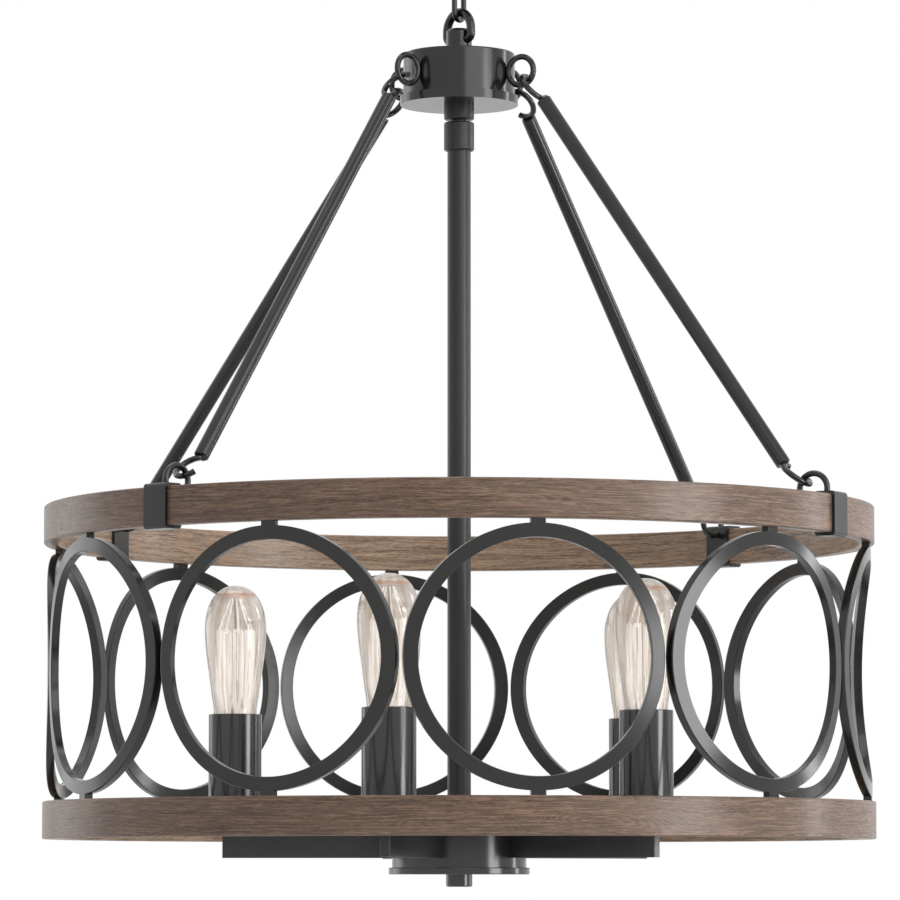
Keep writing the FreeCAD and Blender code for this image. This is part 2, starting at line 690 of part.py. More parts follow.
def around(shape):
    """Copies of a piece at every socket's azimuth."""
    return [turned(shape, azimuth) for azimuth in socket_azimuths]


def save(node, *solids):
    """Write a node's solids to its file."""
    shape = solids[0] if len(solids) == 1 else Part.makeCompound(list(solids))
    shape.exportStep("parts/" + node + ".step")


os.makedirs("parts", exist_ok=True)

save("canopy", canopy())
save("crossbar", crossbar())
save("canopy_nipple", threaded_tube(canopy_bottom - collar_thread_depth, 0.0))
save("canopy_lock_nut", hex_nut(-crossbar_thickness - nut_thickness))
save("canopy_loop", canopy_loop())
save("chain_link_upper", chain_link(link_upper_low, link_upper_azimuth))
save("chain_link_lower", chain_link(link_lower_low, link_lower_azimuth))
save("hub_loop", hub_loop())
save("hub_post", hub_post())
save("hub_cup", hub_cup())
save("hub_plate", hub_plate())
save("hub_eyes", *[hub_eye(azimuth) for azimuth in hub_eye_azimuths])
save("hub_nipple", hub_nipple())
save("lock_nuts", *lock_nuts())
save("terminal_rings", terminal_ring(plate_floor, plate_floor + terminal_height),
     terminal_ring(arm_lead_z - arm_lead_diameter, box_top - box_wall))
save("neck", neck())
save("coupling", coupling())
save("downrod", downrod())
save("downrod_lead", downrod_lead())
save("wiring_box", wiring_box())
save("box_nipple", box_nipple())
save("box_cover", box_cover())
save("finial", finial())
save("arms", *around(arm()))
save("arm_leads", *around(arm_lead()))
save("socket_studs", *around(socket_stud()))
save("socket_covers", *around(socket_cover()))
save("lampholders", *around(lampholder()))

for number, azimuth in enumerate(socket_azimuths, 1):
    save(f"bulb_{number}_glass", turned(bulb_glass(), azimuth))
    save(f"bulb_{number}_base", turned(bulb_base(), azimuth))
    save(f"bulb_{number}_filament", turned(bulb_filament(), azimuth))

save("upper_hoop", hoop(upper_hoop_bottom, upper_hoop_bottom, 1))
save("lower_hoop", hoop(drum_bottom, lower_hoop_top, -1))
for number, azimuth in enumerate(ring_azimuths, 1):
    save(f"ring_{number:02d}", turned(drum_ring(), azimuth))
save("clamps", *[clamp(azimuth) for azimuth in clamp_azimuths])
for number, (hub_azimuth, clamp_azimuth) in enumerate(zip(hub_eye_azimuths, clamp_azimuths), 1):
    save(f"rod_{number}", hanging_rod(hub_azimuth, clamp_azimuth))
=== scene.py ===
import logging
import math
from dataclasses import dataclass, field
from enum import Enum

import bpy
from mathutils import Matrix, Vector


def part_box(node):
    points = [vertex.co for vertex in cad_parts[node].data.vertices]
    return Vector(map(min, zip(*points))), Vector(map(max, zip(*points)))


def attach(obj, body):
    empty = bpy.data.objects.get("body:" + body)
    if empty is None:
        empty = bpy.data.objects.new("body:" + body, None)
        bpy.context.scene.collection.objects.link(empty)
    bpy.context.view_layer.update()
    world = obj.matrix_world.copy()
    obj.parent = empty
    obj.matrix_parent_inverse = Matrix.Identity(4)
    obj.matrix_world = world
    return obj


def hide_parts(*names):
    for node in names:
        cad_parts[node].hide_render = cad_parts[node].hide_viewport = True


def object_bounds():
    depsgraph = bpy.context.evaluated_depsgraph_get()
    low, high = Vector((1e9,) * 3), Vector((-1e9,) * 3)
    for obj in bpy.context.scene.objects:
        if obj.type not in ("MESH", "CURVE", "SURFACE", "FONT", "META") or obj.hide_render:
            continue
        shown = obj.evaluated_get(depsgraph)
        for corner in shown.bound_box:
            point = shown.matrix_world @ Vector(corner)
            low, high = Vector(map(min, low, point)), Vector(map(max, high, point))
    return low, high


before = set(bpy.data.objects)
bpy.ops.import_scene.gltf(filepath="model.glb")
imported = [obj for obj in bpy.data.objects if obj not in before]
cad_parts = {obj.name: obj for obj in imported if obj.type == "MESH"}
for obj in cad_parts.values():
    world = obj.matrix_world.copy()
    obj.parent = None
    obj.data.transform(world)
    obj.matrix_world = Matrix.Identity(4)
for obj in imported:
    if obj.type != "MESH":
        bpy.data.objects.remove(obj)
CAD_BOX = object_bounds()
LOG = logging.getLogger("chandelier")

Colour = tuple[float, float, float, float]
Point = tuple[float, float, float]
Pair = tuple[float, float]
Outline = list[Pair]

WHITE: Colour = (1.0, 1.0, 1.0, 1.0)
# A radius below this, in metres, lies on the axis of a turned piece.
ON_AXIS = 1e-7
# The Mix node's sockets for colours by index, because those for values have the same names.
MIX_FACTOR = 0
MIX_FIRST = 6
MIX_SECOND = 7
MIX_RESULT = 2


class Wire:
    """An output socket, with arithmetic that adds Math nodes to its sheet."""

    def __init__(self, sheet: "Sheet", socket: bpy.types.NodeSocket | None) -> None:
        """Keep the socket and the sheet that it is on."""
        self.sheet = sheet
        self.socket = socket

    def sibling(self, output: str) -> "Wire":
        """Another output of the same node."""
        return Wire(self.sheet, self.socket.node.outputs[output])

    def math(self, operation: str, *others: "Wire | float") -> "Wire":
        """Apply one Math operation to this value.

        Args:
            operation: The Math node's operation.
            others: The operation's further values.

        Returns:
            The result.
        """
        return self.sheet.node("ShaderNodeMath", {"operation": operation}, dict(enumerate((self, *others))))

    def __add__(self, other: "Wire | float") -> "Wire":
        """Sum."""
        return self.math("ADD", other)

    def __radd__(self, other: float) -> "Wire":
        """Sum with a number on the left."""
        return self.math("ADD", other)

    def __sub__(self, other: "Wire | float") -> "Wire":
        """Difference."""
        return self.math("SUBTRACT", other)

    def __rsub__(self, other: float) -> "Wire":
        """Difference from a number on the left."""
        return self.sheet.node("ShaderNodeMath", {"operation": "SUBTRACT"}, {0: other, 1: self})

    def __mul__(self, other: "Wire | float") -> "Wire":
        """Product."""
        return self.math("MULTIPLY", other)

    def __rmul__(self, other: float) -> "Wire":
        """Product with a number on the left."""
        return self.math("MULTIPLY", other)

    def __truediv__(self, other: "Wire | float") -> "Wire":
        """Quotient."""
        return self.math("DIVIDE", other)

    def __pow__(self, other: "Wire | float") -> "Wire":
        """Power."""
        return self.math("POWER", other)

    def clamped(self, low: float = 0.0, high: float = 1.0) -> "Wire":
        """This value, kept between two limits."""
        return self.math("MAXIMUM", low).math("MINIMUM", high)

    def between(self, low: float, high: float) -> "Wire":
        """A smooth step from 0 at a low value to 1 at a high one."""
        return self.sheet.node("ShaderNodeMapRange", {"interpolation_type": "SMOOTHSTEP"},
                               {"Value": self, "From Min": low, "From Max": high})


class Sheet:
    """A node tree under construction, of a material or of a shape."""

    def __init__(self, tree: bpy.types.NodeTree) -> None:
        """Keep the tree and empty it."""
        self.tree = tree
        tree.nodes.clear()

    def node(self, kind: str, settings: dict | None = None, inputs: dict | None = None,
             output: int | str = 0) -> Wire:
        """Add one node.

        Args:
            kind: The node's type.
            settings: The node's own properties, which are set first.
            inputs: Values, wires or lists of wires, by socket name or index.
            output: The output that is wanted.

        Returns:
            That output, or an empty wire where the node has none.
        """
        made = self.tree.nodes.new(kind)
        for name, value in (settings or {}).items():
            setattr(made, name, value)
        for key, value in (inputs or {}).items():
            for item in value if isinstance(value, list) else [value]:
                if isinstance(item, Wire):
                    self.tree.links.new(item.socket, made.inputs[key])
                else:
                    made.inputs[key].default_value = item
        return Wire(self, made.outputs[output] if len(made.outputs) else None)

    def point(self) -> Wire:
        """The surface point in the object's own frame."""
        return self.node("ShaderNodeTexCoord", output="Object")

    def xyz(self, x: Wire | float, y: Wire | float, z: Wire | float) -> Wire:
        """A vector from three values."""
        return self.node("ShaderNodeCombineXYZ", {}, {0: x, 1: y, 2: z})

    def split(self, vector: Wire) -> tuple[Wire, Wire, Wire]:
        """The three values of a vector."""
        x = self.node("ShaderNodeSeparateXYZ", {}, {0: vector})
        return x, x.sibling("Y"), x.sibling("Z")

    def noise(self, vector: Wire, scale: float, detail: float = 2.0, roughness: float = 0.5) -> Wire:
        """Cloudy noise from 0 to 1.

        Args:
            vector: Where to read it.
            scale: Features per unit.
            detail: Octaves.
            roughness: The weight of the finer octaves.

        Returns:
            The noise.
        """
        return self.node("ShaderNodeTexNoise", {},
                         {"Vector": vector, "Scale": scale, "Detail": detail, "Roughness": roughness})

    def blend(self, factor: Wire, first: Wire | Colour, second: Wire | Colour) -> Wire:
        """A colour between two others."""
        return self.node("ShaderNodeMix", {"data_type": "RGBA"},
                         {MIX_FACTOR: factor, MIX_FIRST: first, MIX_SECOND: second}, MIX_RESULT)

    def bump(self, height: Wire, strength: float, distance: float) -> Wire:
        """A surface normal from a height."""
        return self.node("ShaderNodeBump", {}, {"Height": height, "Strength": strength, "Distance": distance})


class Sheen(Enum):
    """How smooth a black coat is, as a shader roughness."""

    SOFT = 0.36
    SATIN = 0.25
    SMOOTH = 0.18


@dataclass(frozen=True)
class Finish:
    """What a surface is made of.

    Attributes:
        name: The material's name.
        slot: The record's material slot that it belongs to; not used.
    """

    name: str
    slot: str

    def paint(self, sheet: Sheet) -> dict:
        """The shader's inputs.

        Args:
            sheet: The material's node sheet.

        Returns:
            Values or wires by socket name.
        """
        raise NotImplementedError

    def material(self) -> bpy.types.Material:
        """Make the finish a material, once.

        Returns:
            The material.
        """
        made = bpy.data.materials.get(self.name)
        if made is None:
            made = bpy.data.materials.new(self.name)
            made.use_nodes = True
            sheet = Sheet(made.node_tree)
            shader = sheet.node("ShaderNodeBsdfPrincipled", {}, self.paint(sheet))
            sheet.node("ShaderNodeOutputMaterial", {}, {"Surface": shader})
        return made


@dataclass(frozen=True)
class BlackCoat(Finish):
    """Black powder coat on steel, with faint mottling and a fine peel.

    Attributes:
        sheen: How smooth it is.
        mirror: How much it mirrors, where 0.5 is a plain coat.
        dark: The mottling's dark end.
        pale: Its pale end.
        mottle_scale: Mottles per metre.
        mottle_step: Where the mottling turns from dark to pale.
        mottle_swing: How far the roughness follows the mottling.
        peel_scale: Grains of the peel per metre.
        peel_swing: How far the roughness follows the peel.
        relief: Strength and depth of the peel's bumps.
        index: Refraction of the coat.
    """

    sheen: Sheen = Sheen.SATIN
    mirror: float = 0.5
    dark: Colour = (0.0088, 0.0088, 0.0080, 1.0)
    pale: Colour = (0.0130, 0.0130, 0.0118, 1.0)
    mottle_scale: float = 45.0
    mottle_step: Pair = (0.3, 0.7)
    mottle_swing: float = 0.06
    peel_scale: float = 420.0
    peel_swing: float = 0.03
    relief: Pair = (0.003, 0.0001)
    index: float = 1.5

    def paint(self, sheet: Sheet) -> dict:
        """Mottled black with a roughness that follows the mottling.

        Args:
            sheet: The material's node sheet.

        Returns:
            Values or wires by socket name.
        """
        point = sheet.point()
        mottle = sheet.noise(point, self.mottle_scale, detail=4.0, roughness=0.6)
        peel = sheet.noise(point, self.peel_scale, detail=1.0)
        uneven = self.mottle_swing * (mottle - 0.5) + self.peel_swing * (peel - 0.5)
        return {
            "Base Color": sheet.blend(mottle.between(*self.mottle_step), self.dark, self.pale),
            "Roughness": self.sheen.value + uneven,
            "Normal": sheet.bump(peel, *self.relief),
            "IOR": self.index,
            "Specular IOR Level": self.mirror,
        }


@dataclass(frozen=True)
class Strand:
    """Noise that is stretched along a hoop.

    Attributes:
        along: Changes per metre round the hoop.
        across: Changes per metre over its height.
        depth: Changes per metre through the wood.
        detail: Octaves.
        roughness: The weight of the finer octaves.
    """

    along: float
    across: float
    depth: float
    detail: float
    roughness: float = 0.5

    def read(self, sheet: Sheet, along: Wire, across: Wire, depth: Wire) -> Wire:
        """Read the noise on a hoop.

        Args:
            sheet: The material's node sheet.
            along: The place round the hoop.
            across: The place over its height.
            depth: The distance from its axis.

        Returns:
            The noise, from 0 to 1.
        """
        place = sheet.xyz(along * self.along, across * self.across, depth * self.depth)
        return sheet.noise(place, 1.0, self.detail, self.roughness)


@dataclass(frozen=True)
class WeatheredOak(Finish):
    """Grey-brown oak bent to a hoop: the grain runs round it, with pores and arched figure.

    Each share says how much of a thing shows, each step is where it starts and ends, and each swing is how
    far the roughness follows it.

    Attributes:
        hoop_radius: The hoop's outer radius, in metres.
        wall_middle: Radius of the middle of its wall, inside which the bulbs' warm light is painted on the
            wood, paler and warmer.
        wall_fade: How far the change to the painted bulb light reaches.
        pore: Colour of the pores.
        brown: Dark end of the stained wood.
        tan: Its pale end.
        grey: Weathered patches.
        fleck: Bright fibres and arches.
        bulb_glow_dark: Dark end of the inner wall, where the bulbs' warm light is painted on.
        inside: Its pale end, with the same painted light.
        sway: Slow waves of the grain.
        sway_reach: How far they move it, in metres.
        fibre: Long fibres.
        vessel: Short open pores.
        grain: Fine speckle.
        streak: Broad bands.
        cloud: Weathered patches.
        growth: A field whose level lines are the arches.
        arch_lines: Arches over the field's range, as an angle.
        arch_fray: How far the fibres fray the arches.
        arch_edge: How sharp the arches are.
        figure_scale: Arched areas per metre round the hoop.
        figure_height: The same over its height, as a multiple.
        roughness: The wood between its pores.
        relief: Strength and depth of the grain's bumps.
        mirror: How much the wood mirrors.
        wax: How much wax is on it.
        wax_roughness: How dull the wax is.
    """

    hoop_radius: float = 0.28
    wall_middle: float = 0.2748
    wall_fade: float = 0.004
    pore: Colour = (0.045, 0.025, 0.017, 1.0)
    brown: Colour = (0.036, 0.017, 0.011, 1.0)
    tan: Colour = (0.282, 0.167, 0.104, 1.0)
    grey: Colour = (0.138, 0.087, 0.060, 1.0)
    fleck: Colour = (0.355, 0.246, 0.174, 1.0)
    # Painted light: the bulbs' warm glow on the inner wall, as a paler, warmer wood colour.
    bulb_glow_dark: Colour = (0.130, 0.078, 0.047, 1.0)
    inside: Colour = (0.590, 0.405, 0.268, 1.0)
    sway: Strand = Strand(9.0, 30.0, 30.0, 1.0)
    sway_reach: float = 0.006
    fibre: Strand = Strand(40.0, 850.0, 600.0, 4.0, 0.72)
    vessel: Strand = Strand(85.0, 1300.0, 900.0, 2.0, 0.6)
    grain: Strand = Strand(260.0, 1500.0, 900.0, 1.0)
    streak: Strand = Strand(9.0, 260.0, 200.0, 3.0, 0.6)
    cloud: Strand = Strand(4.0, 90.0, 80.0, 2.0)
    growth: Strand = Strand(11.0, 45.0, 45.0, 0.0)
    arch_lines: float = 190.0
    arch_fray: float = 6.0
    arch_edge: float = 1.5
    figure_scale: float = 7.0
    figure_height: float = 4.0
    figure_step: Pair = (0.44, 0.58)
    pore_step: Pair = (0.46, 0.30)
    bright_step: Pair = (0.50, 0.72)
    streak_step: Pair = (0.34, 0.66)
    fibre_step: Pair = (0.42, 0.58)
    grain_step: Pair = (0.38, 0.62)
    cloud_step: Pair = (0.40, 0.65)
    streak_share: float = 0.30
    fibre_share: float = 0.45
    grain_share: float = 0.25
    grey_share: float = 0.4
    # How much of the painted bulb light shows on the inner wall.
    bulb_glow_share: float = 0.75
    bright_share: float = 0.52
    arch_share: float = 0.30
    pore_share: float = 0.80
    pore_share_lost_to_arches: float = 0.33
    # Pores fade under the painted bulb light.
    pore_share_lost_to_bulb_glow: float = 0.35
    roughness: float = 0.50
    pore_swing: float = 0.14
    streak_swing: float = 0.1
    relief: Pair = (0.25, 0.0003)
    mirror: float = 0.35
    wax: float = 0.36
    wax_roughness: float = 0.22

    def paint(self, sheet: Sheet) -> dict:
        """Wood from noise stretched along the hoop.

        Args:
            sheet: The material's node sheet.

        Returns:
            Values or wires by socket name.
        """
        x, y, z = sheet.split(sheet.point())
        along = x.math("ARCTAN2", -1.0 * y) * self.hoop_radius
        depth = (x * x + y * y).math("SQRT")
        across = z + self.sway_reach * self.sway.read(sheet, along, z, depth)
        strands = (self.fibre, self.vessel, self.grain, self.streak, self.cloud)
        fibre, vessel, grain, streak, cloud = (strand.read(sheet, along, across, depth) for strand in strands)
        growth = self.growth.read(sheet, along, z, depth)
        waves = (growth * self.arch_lines + self.arch_fray * fibre).math("SINE")
        arches = (waves * 0.5 + 0.5) ** self.arch_edge
        area = sheet.noise(sheet.xyz(along, 0.0, z * self.figure_height), self.figure_scale, detail=1.0)
        figure = area.between(*self.figure_step) * arches
        pores = vessel.between(*self.pore_step)
        bright = fibre.between(*self.bright_step)
        # Painted light: inside the middle of the wall the wood is made paler and warmer, standing for the
        # bulbs' warm glow, and its pores fade there.
        bulb_glow_mask = depth.between(self.wall_middle, self.wall_middle - self.wall_fade)
        warmth = self.streak_share * streak.between(*self.streak_step)
        warmth = warmth + self.fibre_share * fibre.between(*self.fibre_step)
        warmth = warmth + self.grain_share * grain.between(*self.grain_step)
        ground = sheet.blend(warmth, self.brown, self.tan)
        ground = sheet.blend(self.grey_share * cloud.between(*self.cloud_step), ground, self.grey)
        ground = sheet.blend(self.bulb_glow_share * bulb_glow_mask, ground, sheet.blend(warmth, self.bulb_glow_dark, self.inside))
        ground = sheet.blend(self.bright_share * bright + self.arch_share * figure, ground, self.fleck)
        stained = self.pore_share - self.pore_share_lost_to_arches * figure
        stained = stained - self.pore_share_lost_to_bulb_glow * bulb_glow_mask
        return {
            "Base Color": sheet.blend(pores * stained, ground, self.pore),
            "Roughness": self.roughness + self.pore_swing * pores + self.streak_swing * (streak - 0.5),
            "Normal": sheet.bump(bright - pores, *self.relief),
            "Specular IOR Level": self.mirror,
            "Coat Weight": self.wax,
            "Coat Roughness": self.wax_roughness,
        }


@dataclass(frozen=True)
class CreamGlass(Finish):
    """Thin blown glass with a cream haze, drawn streaks and an amber line round its crown.

    Attributes:
        tint: The glass between the streaks.
        drawn: The drawn streaks.
        amber: The line's colour.
        haze: How much of the glass is milky.
        axis: The bulb's axis, as x and y in metres.
        line_height: The line's height.
        line_width: Half of its width.
        line_waver: How far it wavers.
        line_share: How much of it shows.
        streak_scale: How many streaks there are.
        streak_pull: How fast they change along the height.
        streak_step: Where the glass turns from plain to drawn.
        roughness: The glass at its smoothest.
        streak_swing: How far the roughness follows the streaks.
        relief: Strength and depth of the streaks.
        index: Refraction of the glass.
    """

    tint: Colour = (0.960, 0.920, 0.875, 1.0)
    drawn: Colour = (0.83, 0.755, 0.680, 1.0)
    amber: Colour = (0.80, 0.42, 0.20, 1.0)
    haze: float = 0.20
    axis: Pair = (0.0, 0.0)
    line_height: float = 0.0
    line_width: float = 0.0016
    line_waver: float = 0.003
    line_share: float = 0.7
    streak_scale: float = 9.0
    streak_pull: float = 2.0
    streak_step: Pair = (0.40, 0.66)
    roughness: float = 0.06
    streak_swing: float = 0.08
    relief: Pair = (0.25, 0.0008)
    index: float = 1.45

    def paint(self, sheet: Sheet) -> dict:
        """Hazy glass, streaked along its height.

        Args:
            sheet: The material's node sheet.

        Returns:
            Values or wires by socket name.
        """
        x, y, z = sheet.split(sheet.point())
        turn = (x - self.axis[0]).math("ARCTAN2", y - self.axis[1])
        place = sheet.xyz(turn.math("SINE"), turn.math("COSINE"), z * self.streak_pull)
        streak = sheet.noise(place, self.streak_scale)
        middle = self.line_height + self.line_waver * (streak - 0.5)
        line = (z - middle).math("ABSOLUTE").between(self.line_width, 0.0)
        glass = sheet.blend(streak.between(*self.streak_step), self.tint, self.drawn)
        return {
            "Base Color": sheet.blend(self.line_share * line, glass, self.amber),
            "Roughness": self.roughness + self.streak_swing * streak,
            "IOR": self.index,
            "Transmission Weight": 1.0 - self.haze,
            "Normal": sheet.bump(streak, *self.relief),
        }


@dataclass(frozen=True)
class GlowingWire(Finish):
    """Fine carbon filament at a low glow.

    Attributes:
        dull: The wire's dull stretches.
        pale: Its pale stretches.
        glow: The glow of the dull stretches.
        white: The glow of the pale ones.
        strength: How strong the glow is.
        uneven_scale: Stretches per metre.
        roughness: The wire at its smoothest.
        uneven_swing: How far the roughness varies.
    """

    dull: Colour = (0.80, 0.785, 0.775, 1.0)
    pale: Colour = (0.90, 0.89, 0.885, 1.0)
    glow: Colour = (1.0, 0.985, 0.985, 1.0)
    white: Colour = WHITE
    strength: float = 0.63
    uneven_scale: float = 300.0
    roughness: float = 0.4
    uneven_swing: float = 0.2

    def paint(self, sheet: Sheet) -> dict:
        """Pale wire, a little uneven along its length.

        Args:
            sheet: The material's node sheet.

        Returns:
            Values or wires by socket name.
        """
        uneven = sheet.noise(sheet.point(), self.uneven_scale)
        return {
            "Base Color": sheet.blend(uneven, self.dull, self.pale),
            "Roughness": self.roughness + self.uneven_swing * uneven,
            "Emission Color": sheet.blend(uneven, self.glow, self.white),
            "Emission Strength": self.strength,
        }


@dataclass(frozen=True)
class BareMetal(Finish):
    """Plated or rolled metal with fine scratches.

    Attributes:
        colour: The metal.
        rub: Its scratches.
        scratch_length: Scratches per metre along them.
        scratch_width: Scratches per metre across them.
        roughness: The metal between the scratches.
        scratch_swing: How far the roughness follows them.
        relief: Strength and depth of the scratches.
    """

    colour: Colour = (0.55, 0.55, 0.55, 1.0)
    rub: Colour = (0.40, 0.40, 0.40, 1.0)
    scratch_length: float = 40.0
    scratch_width: float = 900.0
    roughness: float = 0.28
    scratch_swing: float = 0.2
    relief: Pair = (0.08, 0.0002)

    def paint(self, sheet: Sheet) -> dict:
        """Metal whose colour and roughness vary with small scratches.

        Args:
            sheet: The material's node sheet.

        Returns:
            Values or wires by socket name.
        """
        x, y, z = sheet.split(sheet.point())
        place = sheet.xyz(x * self.scratch_length, y * self.scratch_length, z * self.scratch_width)
        scratch = sheet.noise(place, 1.0, detail=3.0)
        return {
            "Base Color": sheet.blend(scratch, self.colour, self.rub),
            "Metallic": 1.0,
            "Roughness": self.roughness + self.scratch_swing * scratch,
            "Normal": sheet.bump(scratch, *self.relief),
        }


@dataclass(frozen=True)
class Moulded(Finish):
    """Moulded insulator or lead sleeve with a fine grain.

    Attributes:
        dark: The grain's dark end.
        pale: Its pale end.
        grain_scale: Grains per metre.
        roughness: The surface at its smoothest.
        grain_swing: How far the roughness follows the grain.
        relief: Strength and depth of the grain.
    """

    dark: Colour = (0.020, 0.020, 0.020, 1.0)
    pale: Colour = (0.040, 0.040, 0.040, 1.0)
    grain_scale: float = 1500.0
    roughness: float = 0.45
    grain_swing: float = 0.2
    relief: Pair = (0.1, 0.0001)

    def paint(self, sheet: Sheet) -> dict:
        """Fine grained plastic.

        Args:
            sheet: The material's node sheet.

        Returns:
            Values or wires by socket name.
        """
        grain = sheet.noise(sheet.point(), self.grain_scale)
        return {
            "Base Color": sheet.blend(grain, self.dark, self.pale),
            "Roughness": self.roughness + self.grain_swing * grain,
            "Normal": sheet.bump(grain, *self.relief),
        }


SOFT_BLACK = BlackCoat("soft_black_coat", "black_metal", sheen=Sheen.SOFT)
SATIN_BLACK = BlackCoat("satin_black_coat", "black_metal")
SMOOTH_BLACK = BlackCoat("smooth_black_coat", "black_metal", sheen=Sheen.SMOOTH)
BRIGHT_BLACK = BlackCoat("bright_black_coat", "black_metal", sheen=Sheen.SMOOTH, mirror=0.72)
ARM_BLACK = BlackCoat("arm_black_coat", "black_metal", mirror=0.68)
OAK = WeatheredOak("weathered_oak_hoop", "weathered_oak")
ZINC = BareMetal("zinc_plate", "zinc_steel")
ROLLED_BRASS = BareMetal("rolled_brass", "bulb_metal", (0.62, 0.47, 0.22, 1.0), (0.48, 0.35, 0.16, 1.0))
INSULATOR = Moulded("moulded_insulator", "insulator")
SLEEVE = Moulded("lead_sleeve_weave", "lead_sleeve", (0.03, 0.03, 0.03, 1.0), (0.08, 0.08, 0.08, 1.0), 700.0)
FILAMENT = GlowingWire("glowing_filament", "filament")


class ShapeTree(Sheet):
    """A Geometry Nodes tree with named inputs."""

    def __init__(self, name: str, sizes: dict[str, float | int]) -> None:
        """Start a tree.

        Args:
            name: The tree's name.
            sizes: Its named inputs with a first value each, whole numbers for counts.
        """
        super().__init__(bpy.data.node_groups.new(name, "GeometryNodeTree"))
        self.sockets = {}
        for title, value in sizes.items():
            kind = "NodeSocketInt" if isinstance(value, int) else "NodeSocketFloat"
            self.sockets[title] = self.tree.interface.new_socket(title, in_out="INPUT", socket_type=kind)
        self.sockets["Finish"] = self.tree.interface.new_socket("Finish", in_out="INPUT",
                                                                socket_type="NodeSocketMaterial")
        self.tree.interface.new_socket("Shape", in_out="OUTPUT", socket_type="NodeSocketGeometry")
        self._entry = self.node("NodeGroupInput", output="Finish")

    def size(self, title: str) -> Wire:
        """A named input."""
        return self._entry.sibling(title)

    def circle(self, radius: Wire, sides: int) -> Wire:
        """A level circle."""
        return self.node("GeometryNodeCurvePrimitiveCircle", {"mode": "RADIUS"},
                         {"Resolution": sides, "Radius": radius})

    def line(self, start: Wire | Point, end: Wire | Point) -> Wire:
        """A straight line."""
        return self.node("GeometryNodeCurvePrimitiveLine", {}, {"Start": start, "End": end})

    def sweep(self, path: Wire, profile: Wire) -> Wire:
        """A bar along a path, with closed ends."""
        return self.node("GeometryNodeCurveToMesh", {},
                         {"Curve": path, "Profile Curve": profile, "Fill Caps": True})

    def close(self, shape: Wire) -> None:
        """End the tree: real geometry with its material.

        Args:
            shape: What the tree has made.
        """
        real = self.node("GeometryNodeRealizeInstances", {}, {0: shape})
        painted = self.node("GeometryNodeSetMaterial", {}, {"Geometry": real, "Material": self._entry})
        self.node("NodeGroupOutput", {}, {0: painted})

    def make(self, name: str, sizes: dict[str, float | int], finish: Finish) -> bpy.types.Object:
        """A plain mesh piece from the tree.

        Args:
            name: The piece's name.
            sizes: A value for each named input.
            finish: Its surface.

        Returns:
            The piece, with no modifier left on it.
        """
        piece = new_piece(name, bpy.data.meshes.new(name), finish)
        modifier = piece.modifiers.new(name, "NODES")
        modifier.node_group = self.tree
        for title, value in sizes.items():
            modifier[self.sockets[title].identifier] = value
        modifier[self.sockets["Finish"].identifier] = finish.material()
        graph = bpy.context.evaluated_depsgraph_get()
        mesh = bpy.data.meshes.new_from_object(piece.evaluated_get(graph), depsgraph=graph)
        piece.modifiers.remove(modifier)
        piece.data = mesh
        return piece


def add_object(name: str, data: bpy.types.ID) -> bpy.types.Object:
    """Link new data to the scene as an object.

    Args:
        name: The object's name.
        data: Its mesh, light or camera.

    Returns:
        The object.
    """
    made = bpy.data.objects.new(name, data)
    bpy.context.scene.collection.objects.link(made)
    return made


def new_piece(name: str, mesh: bpy.types.Mesh, finish: Finish) -> bpy.types.Object:
    """Link a mesh to the scene as a piece.

    Args:
        name: The piece's name.
        mesh: Its mesh, in the lamp's frame.
        finish: Its surface.

    Returns:
        The piece.
    """
    mesh.materials.append(finish.material())
    return add_object(name, mesh)


def lathe(name: str, outline: Outline, centre: Vector, closed: bool, finish: Finish,
          sides: int = 72) -> bpy.types.Object:
    """Turn an outline about an upright axis.

    Args:
        name: The piece's name.
        outline: (radius, height) points, upwards along an outer wall.
        centre: A point on the axis.
        closed: Whether the last point joins the first.
        finish: The piece's surface.
        sides: Steps round the axis.

    Returns:
        The piece, smooth shaded.
    """
    points: list[Point] = []
    rows: list[list[int]] = []
    for radius, height in outline:
        first = len(points)
        steps = 1 if radius < ON_AXIS else sides
        for k in range(steps):
            turn = math.tau * k / sides
            points.append((centre.x + radius * math.cos(turn), centre.y + radius * math.sin(turn), height))
        rows.append([first + k % steps for k in range(sides)])
    faces = []
    for low, high in zip(rows, rows[1:] + rows[:1] if closed else rows[1:]):
        for k in range(sides):
            after = (k + 1) % sides
            corners = list(dict.fromkeys((low[k], low[after], high[after], high[k])))
            if len(corners) > 2:
                faces.append(corners)
    mesh = bpy.data.meshes.new(name)
    mesh.from_pydata(points, [], faces)
    mesh.shade_smooth()
    return new_piece(name, mesh, finish)


@dataclass
class SubAssembly:
    """Pieces that are dressed together.

    Attributes:
        title: What the log calls them.
    """

    title: str

    def coats(self) -> dict[str, Finish]:
        """The finish of each solid that shows as it is."""
        return {}

    def build(self) -> None:
        """Make the pieces that stand for solids."""

    def dress(self) -> None:
        """Paint the solids and build the pieces."""
        for node, finish in self.coats().items():
            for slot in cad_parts[node].material_slots:
                slot.material = finish.material()
            LOG.info("%s: %s in %s", self.title, node, finish.name)
        self.build()

    def place(self, piece: bpy.types.Object, body: str, finish: Finish, *nodes: str) -> None:
        """Put a piece on its body.

        Args:
            piece: The piece.
            body: The body that it moves with.
            finish: Its surface; not used.
            nodes: The solids that it stands for.
        """
        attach(piece, body)
        if nodes:
            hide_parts(*nodes)
        LOG.info("%s: %s on %s, %d faces", self.title, piece.name, body, len(piece.data.polygons))


@dataclass
class CeilingFitting(SubAssembly):
    """Canopy, crossbar, threaded tube, nut and ring."""

    title: str = "ceiling fitting"

    def coats(self) -> dict[str, Finish]:
        """Black outside, plated inside."""
        return {"canopy": SATIN_BLACK, "canopy_loop": SMOOTH_BLACK, "crossbar": ZINC, "canopy_nipple": ZINC,
                "canopy_lock_nut": ZINC}


